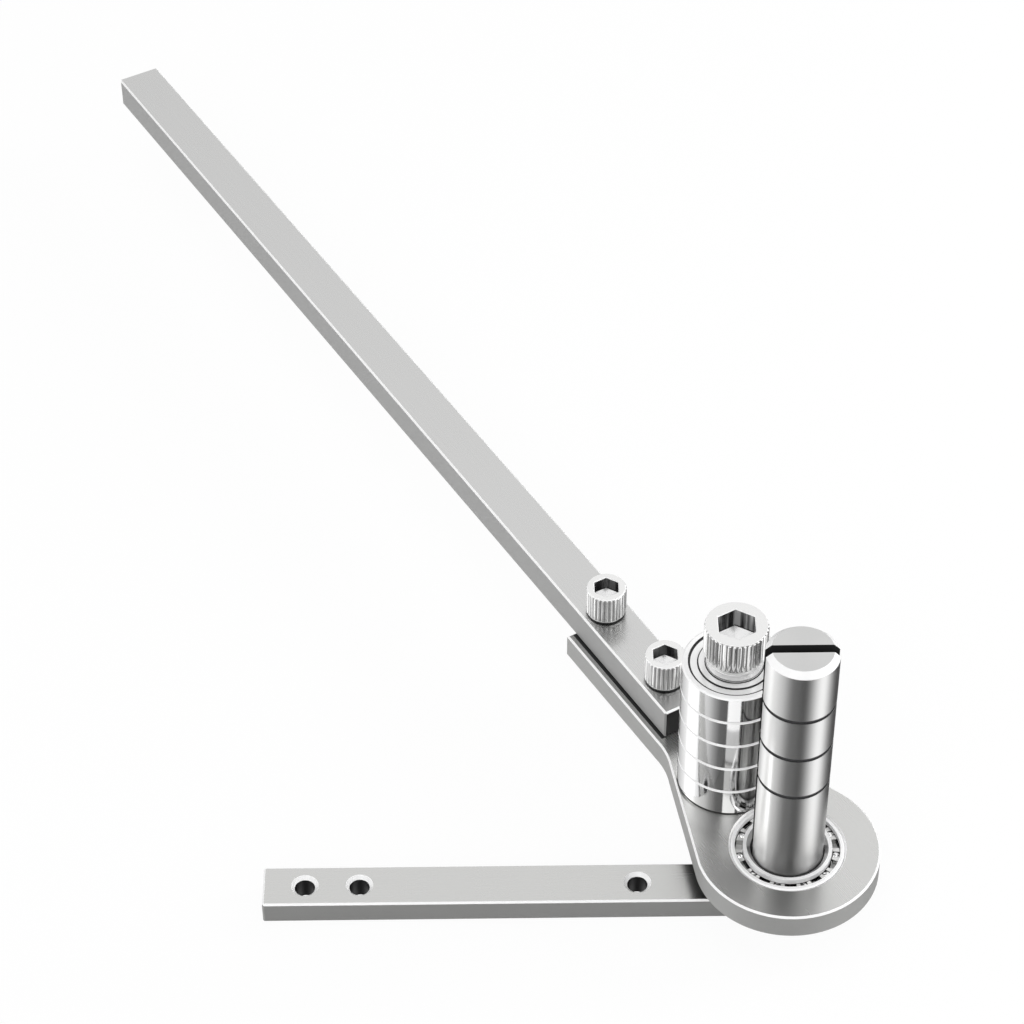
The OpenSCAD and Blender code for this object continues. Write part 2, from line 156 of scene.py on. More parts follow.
class BenderStudioSettings(PropertyGroup):
    """Floor, lamps and camera."""

    floor_colour: colour("Floor", "Colour of the floor", (0.93, 0.93, 0.93))
    floor_size: length("Floor Size", "Length of the square floor's sides", 6000)
    floor_white: share("Floor White", "How far the floor is lifted to plain white where it shows", 0.94)
    world_level: brightness("Room Light", "Strength of the room's even light", 0.58)
    key_power: power("Main Lamp", "Power of the soft lamp overhead", 1.5)
    front_power: power("Front Lamp", "Power of the soft lamp in front", 4.3)
    fill_power: power("Side Lamp", "Power of the soft lamp at the side", 5.0)
    strip_level: brightness("Strip Lamp", "Brightness of the strip that the roller mirrors", 1.0)
    lens: FloatProperty(
        name="Lens", description="Focal length of the camera", subtype="DISTANCE_CAMERA",
        unit="CAMERA", min=1, default=112.165,
    )


# Nodes and shader groups


def feed(tree, value, socket):
    """Gives a socket its value: the output of a node, a number or a colour."""
    if isinstance(value, bpy.types.NodeSocket):
        tree.links.new(value, socket)
    elif isinstance(value, (int, float)):
        socket.default_value = value
    else:
        socket.default_value = (*value, 1.0)


def math_node(tree, operation, *values):
    """One Math node. Each value is a number or a socket."""
    node = tree.nodes.new("ShaderNodeMath")
    node.operation = operation
    for value, socket in zip(values, node.inputs):
        feed(tree, value, socket)
    return node.outputs[0]


def both(tree, a, b):
    """A mask that is 1 where two masks are."""
    return math_node(tree, "MULTIPLY", a, b)


def either(tree, a, b):
    """A mask that is 1 where one of two masks is."""
    return math_node(tree, "MAXIMUM", a, b)


def opposite(tree, mask):
    """A mask that is 1 where another is 0."""
    return math_node(tree, "SUBTRACT", 1.0, mask)


def smooth_step(tree, value, low, high):
    """0 below low, 1 above high and smooth between them."""
    node = tree.nodes.new("ShaderNodeMapRange")
    node.interpolation_type = "SMOOTHSTEP"
    for number, name in ((value, "Value"), (low, "From Min"), (high, "From Max")):
        feed(tree, number, node.inputs[name])
    return node.outputs["Result"]


def mix_value(tree, mask, a, b):
    """Mixes two values by a mask. Two equal numbers stay one plain number."""
    if isinstance(a, (int, float)) and a == b:
        return a
    node = tree.nodes.new("ShaderNodeMix")
    node.data_type = "FLOAT"
    for value, place in ((mask, 0), (a, 2), (b, 3)):
        feed(tree, value, node.inputs[place])
    return node.outputs[0]


def mix_colour(tree, mask, a, b, way="MIX"):
    """Mixes two colours by a mask. A colour is three numbers or a socket."""
    node = tree.nodes.new("ShaderNodeMix")
    node.data_type, node.blend_type = "RGBA", way
    for value, place in ((mask, 0), (a, 6), (b, 7)):
        feed(tree, value, node.inputs[place])
    return node.outputs[2]


def mix_shader(tree, mask, a, b):
    """Mixes two shaders by a mask."""
    node = tree.nodes.new("ShaderNodeMixShader")
    for value, socket in zip((mask, a, b), node.inputs):
        feed(tree, value, socket)
    return node.outputs[0]


def noise(tree, place, scale, detail):
    """A noise pattern from 0 to 1."""
    node = tree.nodes.new("ShaderNodeTexNoise")
    for value, name in ((place, "Vector"), (scale, "Scale"), (detail, "Detail")):
        feed(tree, value, node.inputs[name])
    return node.outputs["Fac"]


def shader_group(name, vector, numbers, results):
    """A new shader group with its inputs and outputs.

    One vector goes in, with numbers that have a name, a default and a highest value. Numbers come out.
    """
    tree = bpy.data.node_groups.new(name, "ShaderNodeTree")
    tree.interface.new_socket(name=vector, in_out="INPUT", socket_type="NodeSocketVector")
    for label, default, high in numbers:
        item = tree.interface.new_socket(name=label, in_out="INPUT", socket_type="NodeSocketFloat")
        item.default_value, item.min_value, item.max_value = default, 0.0, high
    for label in results:
        tree.interface.new_socket(name=label, in_out="OUTPUT", socket_type="NodeSocketFloat")
    return tree, tree.nodes.new("NodeGroupInput").outputs, tree.nodes.new("NodeGroupOutput").inputs


def grinding_group():
    """Fine lines along X that a grinding wheel leaves, with slow patches in them."""
    numbers = (("Lines per Metre", 2500.0, 1e6), ("Stretch", 0.03, 1.0))
    tree, source, result = shader_group("Grinding Lines", "Place", numbers, ("Lines", "Patches"))
    across = source["Lines per Metre"]
    scale = tree.nodes.new("ShaderNodeCombineXYZ")
    feed(tree, math_node(tree, "MULTIPLY", across, source["Stretch"]), scale.inputs["X"])
    feed(tree, across, scale.inputs["Y"])
    feed(tree, across, scale.inputs["Z"])
    spread = tree.nodes.new("ShaderNodeVectorMath")
    spread.operation = "MULTIPLY"
    feed(tree, source["Place"], spread.inputs[0])
    feed(tree, scale.outputs[0], spread.inputs[1])
    feed(tree, noise(tree, spread.outputs[0], 1.0, 3.0), result["Lines"])
    feed(tree, noise(tree, source["Place"], 60.0, 2.0), result["Patches"])
    return tree


def bevel_group():
    """Masks for upper bevels, for level faces and for faces that look down."""
    tree, source, result = shader_group("Bevel Polish", "Facing", (), ("Bevels", "Level", "Underside"))
    split = tree.nodes.new("ShaderNodeSeparateXYZ")
    feed(tree, source["Facing"], split.inputs[0])
    # How far a face looks up: 1 for a level face, about 0.7 for a bevel, 0 for an upright face
    up = split.outputs["Z"]
    off_bevel = math_node(tree, "ABSOLUTE", math_node(tree, "SUBTRACT", up, 0.7))
    feed(tree, opposite(tree, smooth_step(tree, off_bevel, 0.12, 0.26)), result["Bevels"])
    feed(tree, smooth_step(tree, up, 0.75, 0.97), result["Level"])
    feed(tree, math_node(tree, "LESS_THAN", up, -0.3), result["Underside"])
    return tree


SHARED = {}


def shared_groups():
    """The shader groups that every steel uses."""
    if not SHARED:
        SHARED["grinding"] = grinding_group()
        SHARED["bevel"] = bevel_group()
    return SHARED


# Steels

# Direction of a lathe's fine grooves for the shader, in full turns
LATHE_TURN = 0.25


def toned(value, factor):
    """A colour made lighter or darker."""
    return tuple(min(1.0, v * factor) for v in value)


class Steel:
    """One steel: a Principled shader fed by the grinding lines, the bevels' polish and painted highlight,
    and any painted shade, painted highlights and marks laid over it.

    The lines run along X once the place is turned by turn, so many per metre, and their depth is in metres.
    Stretch is the share of them that is counted along their run. Colour and roughness vary with them by
    contrast and rough_spread. Upright faces take the side values, level ones level_metal, and bevels the
    edge values. The side tone scales the colour of upright faces: under 1 it paints shade on them, over 1
    it paints light. The bevels' edge colour, lighter than the steel, is a painted highlight. Turned is how
    far a lathe's fine grooves blur what the steel mirrors. Other steel mirrors this one with its colour
    times mirrored and, if it has a mirrored_rough, as full metal that rough: a painted reflection, lighter
    than the steel's own where mirrored is over 1 and darker where it is under 1.
    """

    def __init__(self, name, tint, rough, turn=0.0, lines=2500.0, stretch=0.03, depth=4e-6, contrast=0.05,
                 rough_spread=0.08, edge=None, edge_metal=0.03, edge_rough=0.3, painted_side_tone=1.0,
                 side_metal=1.0, side_rough=0.0, level_metal=1.0, turned=0.0, mirrored=1.0,
                 mirrored_rough=None):
        self.material = bpy.data.materials.new(name)
        self.material.use_nodes = True
        self.material.diffuse_color = (*tint, 1.0)
        tree = self.tree = self.material.node_tree
        self.shader = tree.nodes["Principled BSDF"]
        self.shader.inputs["Anisotropic"].default_value = turned
        self.shader.inputs["Anisotropic Rotation"].default_value = LATHE_TURN
        self.mirrored, self.mirrored_rough = mirrored, mirrored_rough
        self.read_surface(turn, lines, stretch)

        base = self.grained(tint, 1.0, contrast)
        # Painted shade on upright faces where the side tone is under 1, painted light where it is over 1
        if painted_side_tone != 1.0:
            base = mix_colour(tree, self.level, self.grained(tint, painted_side_tone, contrast), base)
        # Unless another edge colour is given, bevels are painted 12 per cent lighter than the steel, as a
        # painted highlight
        if edge is None:
            edge, edge_metal = toned(tint, 1.12), 1.0
        self.colour = mix_colour(tree, self.bevels, base, edge)
        flat_metal = mix_value(tree, self.level, side_metal, level_metal)
        self.metal = mix_value(tree, self.bevels, flat_metal, edge_metal)

        patchy = math_node(tree, "MULTIPLY_ADD", self.patches, rough_spread, rough - rough_spread)
        fine = math_node(tree, "MULTIPLY_ADD", self.lines, rough_spread, patchy)
        flat_rough = mix_value(tree, self.level, math_node(tree, "ADD", fine, side_rough), fine)
        self.rough = mix_value(tree, self.bevels, flat_rough, edge_rough)

        bump = tree.nodes.new("ShaderNodeBump")
        bump.inputs["Strength"].default_value = 0.5
        bump.inputs["Distance"].default_value = depth
        feed(tree, self.lines, bump.inputs["Height"])
        feed(tree, bump.outputs[0], self.shader.inputs["Normal"])

    def read_surface(self, turn, lines, stretch):
        """Reads the place, its grinding lines and the masks of bevels, level faces and undersides."""
        tree = self.tree
        source = tree.nodes.new("ShaderNodeTexCoord")
        self.place = source.outputs["Object"]
        grain = tree.nodes.new("ShaderNodeGroup")
        grain.node_tree = shared_groups()["grinding"]
        grain.inputs["Lines per Metre"].default_value = lines
        grain.inputs["Stretch"].default_value = stretch
        feed(tree, self.mapped(Rotation=(0.0, 0.0, turn)), grain.inputs["Place"])
        bevel = tree.nodes.new("ShaderNodeGroup")
        bevel.node_tree = shared_groups()["bevel"]
        feed(tree, source.outputs["Normal"], bevel.inputs["Facing"])
        self.lines, self.patches = grain.outputs["Lines"], grain.outputs["Patches"]
        self.bevels, self.level = bevel.outputs["Bevels"], bevel.outputs["Level"]
        self.underside = bevel.outputs["Underside"]

    def mapped(self, **settings):
        """The place through a Mapping node with the named inputs."""
        node = self.tree.nodes.new("ShaderNodeMapping")
        for name, value in settings.items():
            node.inputs[name].default_value = value
        feed(self.tree, self.place, node.inputs["Vector"])
        return node.outputs[0]

    def parts(self, place):
        """The coordinates of a place, by the names X, Y and Z."""
        split = self.tree.nodes.new("ShaderNodeSeparateXYZ")
        feed(self.tree, place, split.inputs[0])
        return split.outputs

    def arm_parts(self):
        """The place along the arm as X and across it as Y."""
        return self.parts(self.mapped(Rotation=(0.0, 0.0, -ARM_TURN)))

    def height(self):
        """Height above the underside of the base bar."""
        return self.parts(self.place)["Z"]

    def radius(self, centre=(0.0, 0.0)):
        """Distance from an upright axis."""
        size = self.tree.nodes.new("ShaderNodeVectorMath")
        size.operation = "LENGTH"
        flat = self.mapped(Location=(-centre[0], -centre[1], 0.0), Scale=(1.0, 1.0, 0.0))
        feed(self.tree, flat, size.inputs[0])
        return size.outputs["Value"]

    def under(self, value, limit):
        """A mask that is 1 where a value lies under a limit."""
        return math_node(self.tree, "LESS_THAN", value, limit)

    def over(self, value, limit):
        """A mask that is 1 where a value lies over a limit."""
        return math_node(self.tree, "GREATER_THAN", value, limit)

    def within(self, value, low, high):
        """A mask that is 1 where a value lies between two limits."""
        return both(self.tree, self.over(value, low), self.under(value, high))

    def upright_streaks(self, lines, run=0.05):
        """A mask of upright streaks, such as a broach leaves.

        There are so many lines per metre, and run is the share of them that is counted upwards.
        """
        place = self.mapped(Scale=(lines, lines, lines * run))
        return smooth_step(self.tree, noise(self.tree, place, 1.0, 2.0), 0.38, 0.62)

    def grained(self, tint, factor, contrast):
        """A colour made lighter or darker, which varies with the lines."""
        dark, light = toned(tint, factor - contrast), toned(tint, factor + contrast)
        return mix_colour(self.tree, self.lines, dark, light)

    def overpaint(self, mask, tint, rough, metal=0.0):
        """Paints another colour, roughness and metalness where the mask is 1: painted shade, painted
        highlights, the pin's marks and the pivot bearing's mouth.
        """
        self.colour = mix_colour(self.tree, mask, self.colour, tint)
        self.rough = mix_value(self.tree, mask, self.rough, rough)
        self.metal = mix_value(self.tree, mask, self.metal, metal)

    def done(self):
        """Connects the surface to the shader, with the painted reflection that other steel mirrors of it.
        """
        # Painted reflection: seen from other steel, the colour is multiplied by mirrored
        if self.mirrored != 1.0:
            image = self.tree.nodes.new("ShaderNodeLightPath").outputs["Is Glossy Ray"]
            if self.mirrored_rough is not None:
                self.rough = mix_value(self.tree, image, self.rough, self.mirrored_rough)
                self.metal = mix_value(self.tree, image, self.metal, 1.0)
            self.colour = mix_colour(self.tree, image, self.colour, (self.mirrored,) * 3, "MULTIPLY")
        feed(self.tree, self.colour, self.shader.inputs["Base Color"])
        feed(self.tree, self.rough, self.shader.inputs["Roughness"])
        feed(self.tree, self.metal, self.shader.inputs["Metallic"])
        return self.material


def give(material, *nodes):
    """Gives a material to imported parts."""
    for name in nodes:
        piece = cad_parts[name]
        if not piece.material_slots:
            piece.data.materials.append(material)
        for slot in piece.material_slots:
            slot.material = material


def of_each_bearing(name):
    """The names of one kind of part in the roller's bearings."""
    return [f"{name}_{k}" for k in BEARINGS]


class BENDER_OT_ground_bars(Operator):
    """Gives the base bar, the arm plate and the handle bar their ground steel"""

    bl_idname = "bender.ground_bars"
    bl_label = "Finish Bars and Arm Plate"

    # Millimetres: the fixing holes along X, the radius of the painted shade on their walls, and how far
    # below the bar's top it starts
    holes = (-101.9, -90.3, -31.3)
    hole_reach = 2.25
    hole_mouth = 0.78
    # Millimetres along and across the arm: the handle bar's near end and the lines of painted shade beside
    # it
    handle_start = 39.36
    joint_shade_lines = ((5.0, 6.2), (-6.2, -5.0))

    def execute(self, context):
        look = context.scene.bender_finish
        ground = {
            "rough": look.ground_roughness, "depth": look.grain_depth, "edge": look.painted_highlight_colour,
            "side_metal": 0.5, "side_rough": 0.4, "contrast": 0.025, "rough_spread": 0.035,
        }
        self.finish_bar(look, ground)
        self.finish_plate(look, ground)
        self.finish_handle(look, ground)
        return {"FINISHED"}

    def finish_bar(self, look, ground):
        """The base bar, with painted shade on its upright faces and on the walls of its holes."""
        bar = Steel("base bar steel", look.bar_colour, painted_side_tone=0.6, **ground)
        # Painted shade on the hole walls below their mouths
        sunk = bar.under(bar.height(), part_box("base_bar")[1].z - self.hole_mouth * MM)
        for x in self.holes:
            inside = bar.under(bar.radius((x * MM, 0.0)), self.hole_reach * MM)
            bar.overpaint(both(bar.tree, inside, sunk), look.painted_shade_colour, 0.5)
        give(bar.done(), "base_bar")

    def finish_plate(self, look, ground):
        """The arm plate, with painted shade on its upright faces, lines of painted shade along both sides
        of the handle bar, and a painted reflection lighter than its steel.
        """
        plate = Steel("arm plate steel", look.plate_colour, turn=-ARM_TURN, painted_side_tone=0.67,
                      level_metal=0.9, mirrored=1.4, mirrored_rough=0.06, **ground)
        arm = plate.arm_parts()
        beside = both(plate.tree, plate.over(arm["X"], self.handle_start * MM), plate.level)
        # Painted contact shade along both sides of the handle bar
        for low, high in self.joint_shade_lines:
            line = plate.within(arm["Y"], low * MM, high * MM)
            plate.overpaint(both(plate.tree, line, beside), look.painted_shade_colour, 0.6)
        give(plate.done(), "swivel_plate")

    def finish_handle(self, look, ground):
        """The handle bar, with painted shade on its upright faces, its underside and its near end."""
        bar = Steel("handle steel", look.handle_colour, turn=-ARM_TURN, painted_side_tone=0.64, **ground)
        # Painted shade on the handle bar's underside
        bar.overpaint(bar.underside, look.painted_shade_colour, 0.6)
        # Painted shade on the near end face, which faces the roller
        near_end = opposite(bar.tree, bar.over(bar.arm_parts()["X"], self.handle_start * MM))
        upright = opposite(bar.tree, either(bar.tree, bar.level, bar.bevels))
        bar.overpaint(both(bar.tree, near_end, upright), look.painted_shade_colour, 0.35, metal=0.5)
        give(bar.done(), "handle_bar")


class BENDER_OT_turned_pin(Operator):
    """Gives the pivot pin its turned steel and dark marks, and finishes the cross pin, sleeves and bush"""

    bl_idname = "bender.turned_pin"
    bl_label = "Finish Pivot Pin"

    # Millimetres: how far below the top the depth marks lie, half their width, and the radius inside which
    # they are dark
    mark_drops = (13.5, 24.6, 35.7)
    mark_half = 0.47
    mark_reach = 7.42
    # Millimetres: half the width of the painted shade on the slot's walls, and how far below the top it
    # starts
    slot_half = 1.07
    slot_drop = 0.05
    # Millimetres: height of the painted shade at the bush's foot
    bush_shade_foot = 0.4

    def execute(self, context):
        look = context.scene.bender_finish
        self.finish_pin(look)
        sleeve = Steel("sleeve steel", look.pin_colour, 0.25, lines=3000.0, stretch=1.0, contrast=0.04)
        give(sleeve.done(), "cross_pin", "pivot_spacer", "roller_shim")
        bush = Steel("bush steel", look.ring_colour, 0.2, lines=3000.0, stretch=1.0, contrast=0.04,
                     side_metal=0.6)
        # Painted shade at the bush's foot
        foot = bush.under(bush.height(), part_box("roller_bush")[0].z + self.bush_shade_foot * MM)
        bush.overpaint(foot, look.painted_shade_colour, 0.5)
        give(bush.done(), "roller_bush")
        return {"FINISHED"}

    def finish_pin(self, look):
        """The pin, with its dark depth marks, painted shade in its slot, painted light on its upright
        sides, and a painted reflection darker than its steel.
        """
        pin = Steel("pivot pin steel", look.pin_colour, look.turned_roughness, stretch=1.0,
                    depth=look.grain_depth / 2, contrast=0.03, rough_spread=0.05,
                    edge=look.painted_highlight_colour, painted_side_tone=1.13, turned=0.9, mirrored=0.6)
        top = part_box("pivot_pin")[1].z
        place = pin.parts(pin.place)
        marks = 0.0
        for drop in self.mark_drops:
            low, high = top - (drop + self.mark_half) * MM, top - (drop - self.mark_half) * MM
            marks = either(pin.tree, marks, pin.within(place["Z"], low, high))
        sunk = pin.under(pin.radius(), self.mark_reach * MM)
        pin.overpaint(both(pin.tree, marks, sunk), look.mark_colour, 0.5)
        # Painted shade on the slot's walls
        walls = pin.within(place["Y"], -self.slot_half * MM, self.slot_half * MM)
        deep = pin.under(place["Z"], top - self.slot_drop * MM)
        pin.overpaint(both(pin.tree, walls, deep), look.painted_shade_colour, 0.5)
        give(pin.done(), "pivot_pin")


class BENDER_OT_bearings(Operator):
    """Gives the pivot bearing and the roller bearings their polished rings, shields, cages and balls"""

    bl_idname = "bender.bearings"
    bl_label = "Finish Bearings"

    # Millimetres from the pivot's axis: the gap by the pin, which is painted shade, the mouth beyond it,
    # and the walls by the balls
    pin_gap = 7.8
    mouth_reach = 8.64
    gap_walls = (9.2, 11.3)
    # Millimetres below the top of the pivot bearing where painted shade starts on its walls and on its cage
    gap_shade_drop = 2.1
    cage_shade_drop = 2.7
    # Millimetres from the roller's axis: the lines of painted shade on the shields
    shield_shade_lines = ((7.5, 7.8), (9.2, 9.7))

    def execute(self, context):
        look = context.scene.bender_finish
        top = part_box("pivot_outer_ring")[1].z
        self.finish_pivot_rings(look, top)
        ring = self.ring_steel(look, "roller bearing ring steel")
        give(ring.done(), *of_each_bearing("roller_inner_ring"), *of_each_bearing("roller_outer_ring"))
        self.finish_shields(look)
        # The cages' reflection in other steel is painted darker
        cage = Steel("cage steel", look.cage_colour, 0.25, lines=1500.0, stretch=1.0, depth=2e-6,
                     level_metal=0.4, mirrored=0.7)
        # Painted shade on the cage deep in the pivot bearing
        low = cage.under(cage.height(), top - self.cage_shade_drop * MM)
        cage.overpaint(low, look.painted_shade_colour, 0.4)
        give(cage.done(), "pivot_cage", *of_each_bearing("roller_cage"))
        # The balls' reflection in other steel is painted darker
        ball = Steel("ball steel", look.ball_colour, 0.04, lines=800.0, stretch=1.0, depth=1e-7,
                     contrast=0.01, rough_spread=0.01, edge_rough=0.04, mirrored=0.7)
        give(ball.done(), "pivot_balls", *of_each_bearing("roller_balls"))
        return {"FINISHED"}

    def ring_steel(self, look, name, **mirrored):
        """Ground and polished steel with painted highlights on its bevels and its level faces."""
        ring = Steel(name, look.ring_colour, look.polished_roughness, lines=4000.0, stretch=1.0,
                     depth=5e-7, contrast=0.02, rough_spread=0.03, edge=look.painted_highlight_colour, **mirrored)
        # Painted highlight on the level faces
        ring.overpaint(ring.level, look.painted_highlight_colour, 0.35, metal=0.25)
        return ring

    def finish_pivot_rings(self, look, top):
        """The open bearing's rings, with a pale mouth, painted light on the upper walls of the ball gap,
        painted shade lower down in it and in the gap by the pin, and a painted reflection a little darker
        than their steel.
        """
        pivot = self.ring_steel(look, "pivot bearing ring steel", mirrored=0.95, mirrored_rough=0.06)
        distance = pivot.radius()
        gap = pivot.within(distance, self.gap_walls[0] * MM, self.gap_walls[1] * MM)
        # Painted light on the walls of the ball gap
        pivot.overpaint(gap, look.painted_highlight_colour, 0.4, metal=0.2)
        # Painted shade lower down in the ball gap
        deep = pivot.under(pivot.height(), top - self.gap_shade_drop * MM)
        pivot.overpaint(both(pivot.tree, gap, deep), look.painted_shade_colour, 0.4)
        mouth = pivot.within(distance, self.pin_gap * MM, self.mouth_reach * MM)
        pivot.overpaint(mouth, look.ring_colour, 0.15, metal=0.6)
        # Painted shade in the gap by the pin
        pivot.overpaint(pivot.under(distance, self.pin_gap * MM), look.painted_shade_colour, 0.4)
        give(pivot.done(), "pivot_inner_ring", "pivot_outer_ring")

    def finish_shields(self, look):
        """The pressed shields, with two lines of painted shade."""
        shield = Steel("shield steel", look.shield_colour, look.polished_roughness + 0.08,
                       lines=3000.0, stretch=1.0, depth=1e-6, contrast=0.03, level_metal=0.3)
        distance = shield.radius(arm_place(ROLLER_OFFSET * MM, 0.0))
        for low, high in self.shield_shade_lines:
            # Painted shade lines on the shields
            line = shield.within(distance, low * MM, high * MM)
            shield.overpaint(line, look.painted_shade_colour, 0.4)
        give(shield.done(), *of_each_bearing("roller_shields"))


# Knurled socket head screws


class ScrewSize(NamedTuple):
    """The sizes of a socket head screw in metres, and its number of ridges.

    The cone under the head is a step in its radius and a rise. The shank goes reach below the head.
    """

    head: float
    height: float
    shank: float
    reach: float
    cone: tuple
    knurls: int
    knurl_depth: float
    key: float
    key_depth: float
    mouth: float


# Shape of one ridge of a knurl, from its groove over its crest
KNURL_WAVE = (0.0, 0.62, 1.0, 0.62)
# Edges of a screw that meet at a smaller angle are shaded smooth
SMOOTH_LIMIT = math.radians(28)
# How fast the drill point at the bottom of a socket falls towards its middle
DRILL_SLOPE = math.tan(math.radians(18))

# Millimetres: bevel at the shank's end, bevel and rounding of the head's upper edge
END_BEVEL = 0.6
HEAD_BEVEL = 0.25
EDGE_DROP = 0.06
EDGE_STEP = 0.08
# Millimetres: height in which the ridges run out, above and below, and radius of a drill point's tip
RUN_OUT = 0.15
RUN_IN = 0.02
TIP = 0.05


def ring_stack(rings, steps):
    """A closed solid of revolution whose rings may change with the angle.

    Each ring is a height and a function that gives the radius at a step. The ends close on points on the
    axis.
    """
    shape = bmesh.new()
    rows = []
    for height, radius in rings:
        row = []
        for i in range(steps):
            angle = 2 * math.pi * i / steps
            r = radius(i)
            row.append(shape.verts.new((r * math.cos(angle), r * math.sin(angle), height)))
        rows.append(row)
    for below, above in zip(rows, rows[1:]):
        for i in range(steps):
            j = (i + 1) % steps
            shape.faces.new((below[i], below[j], above[j], above[i]))
    for row, flip in ((rows[0], True), (rows[-1], False)):
        centre = shape.verts.new((0.0, 0.0, row[0].co.z))
        for i in range(steps):
            j = (i + 1) % steps
            corners = (row[j], row[i], centre) if flip else (row[i], row[j], centre)
            shape.faces.new(corners)
    bmesh.ops.recalc_face_normals(shape, faces=shape.faces)
    return shape


def knurled_screw(name, size):
    """A socket head screw with its head standing on z = 0, as a mesh."""
    steps = size.knurls * len(KNURL_WAVE)
    # Rounded up to whole twelves, which are whole ridges and put the hexagon's corners on steps
    steps += -steps % 12
    r = size.head / 2

    def even(radius):
        return lambda i: radius

    def knurl(i):
        return r - size.knurl_depth * (1 - KNURL_WAVE[i % len(KNURL_WAVE)])

    def hexagon(flats):
        def radius(i):
            turn = (2 * math.pi * i / steps - math.pi / 2) % (math.pi / 3)
            return flats / 2 / math.cos(turn - math.pi / 6)
        return radius

    bevel, run_out = HEAD_BEVEL * MM, RUN_OUT * MM
    low, high = size.cone[1], size.height - bevel - run_out
    valley = r - size.knurl_depth
    floor = size.height - size.key_depth
    # The drill point falls from the hexagon's corners to its tip, with one ring between them
    corner, drill, tip = size.key / math.sqrt(3), size.key * 0.35, TIP * MM
    rings = [
        (-size.reach, even(size.shank / 2 - END_BEVEL * MM)),
        (-size.reach + END_BEVEL * MM, even(size.shank / 2)),
        (0.0, even(size.shank / 2)),
        (0.0, even(r - size.cone[0])),
        (low, even(valley)),
        (low + RUN_IN * MM, knurl),
        (high, knurl),
        (high + run_out, even(valley)),
        (size.height - EDGE_DROP * MM, even(r - bevel)),
        (size.height, even(r - bevel - EDGE_STEP * MM)),
        (size.height, hexagon(size.key + 2 * size.mouth)),
        (size.height - size.mouth, hexagon(size.key)),
        (floor, hexagon(size.key)),
        (floor - (corner - drill) * DRILL_SLOPE, even(drill)),
        (floor - (corner - tip) * DRILL_SLOPE, even(tip)),
    ]
    shape = ring_stack(rings, steps)
    mesh = bpy.data.meshes.new(name)
    shape.to_mesh(mesh)
    shape.free()
    mesh.shade_smooth()
    mesh.set_sharp_from_angle(angle=SMOOTH_LIMIT)
    return mesh


# Millimetres: how far above its floor a socket's walls start, the height of the painted shade line round
# the floor, how far below its deepest place the drill point's painted highlight reaches, and where the
# painted shade in the grooves ends below the top
WALL_START = 0.05
FLOOR_SHADE_LINE = 0.3
POINT_SPARE = 0.1
GROOVE_END = 0.35
# Radius inside which a socket is coloured, as a share of its key
SOCKET_REACH = 0.6
# Streaks on the walls of a socket, per metre
STREAKS = 900.0


def screw_steel(look, name, size, places, top, side_metal, socket_tone, foot=None):
    """Bright plated steel, with painted shade and lighter upright streaks on each socket's walls and a
    painted highlight on each drill point.

    The grooves of the knurls carry painted shade, and so does the foot where its two heights are given. The
    places are the screws' axes, top is the height of the heads' upper faces, and socket_tone makes the
    streaks lighter or darker.
    """
    steel = Steel(name, look.screw_colour, look.polished_roughness, stretch=1.0, depth=5e-7,
                  contrast=0.03, rough_spread=0.04, edge=look.painted_highlight_colour, edge_rough=0.25,
                  side_metal=side_metal)
    tree, height = steel.tree, steel.height()
    streaks = steel.upright_streaks(STREAKS)
    light_streaks = toned(look.socket_colour, socket_tone)
    # Painted shade on the socket walls, with lighter upright streaks over it
    wall_shade_streaks = mix_colour(tree, streaks, look.painted_shade_colour, light_streaks)

    reach = size.key * SOCKET_REACH
    floor = top - size.key_depth + WALL_START * MM
    point = reach * DRILL_SLOPE + POINT_SPARE * MM
    walls = steel.within(height, floor, top - size.mouth)
    floor_shade_line = steel.within(height, floor, floor + FLOOR_SHADE_LINE * MM)
    drilled = steel.within(height, floor - point, floor)
    knurled = steel.within(height, top - size.height + size.cone[1], top - GROOVE_END * MM)
    # From well inside the head to a little short of the ridges' crests
    groove_radii = (size.head * 0.4, size.head / 2 - size.knurl_depth * 0.7)
    for place in places:
        distance = steel.radius(place)
        inside = steel.under(distance, reach)
        steel.overpaint(both(tree, inside, walls), wall_shade_streaks, 0.25, metal=0.4)
        # Painted shade line round the socket floor
        steel.overpaint(both(tree, inside, floor_shade_line), look.painted_shade_colour, 0.4)
        # Painted highlight on the drill point
        steel.overpaint(both(tree, inside, drilled), look.painted_highlight_colour, 0.25, metal=0.85)
        grooves = both(tree, steel.within(distance, *groove_radii), knurled)
        # Painted shade in the knurls' grooves
        steel.overpaint(grooves, look.groove_shade_colour, 0.3, metal=side_metal)
    if foot:
        # Painted shade at the foot of each head
        steel.overpaint(steel.within(height, *foot), look.painted_shade_colour, 0.5)
    return steel.done()


def arm_place(distance, height):
    """A point on the arm's centre line."""
    return Vector((distance * math.cos(ARM_TURN), distance * math.sin(ARM_TURN), height))


def new_piece(name, mesh, body, slot, *nodes):
    """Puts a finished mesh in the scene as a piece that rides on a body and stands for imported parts."""
    piece = bpy.data.objects.new(name, mesh)
    bpy.context.scene.collection.objects.link(piece)
    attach(piece, body)
    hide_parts(*nodes)


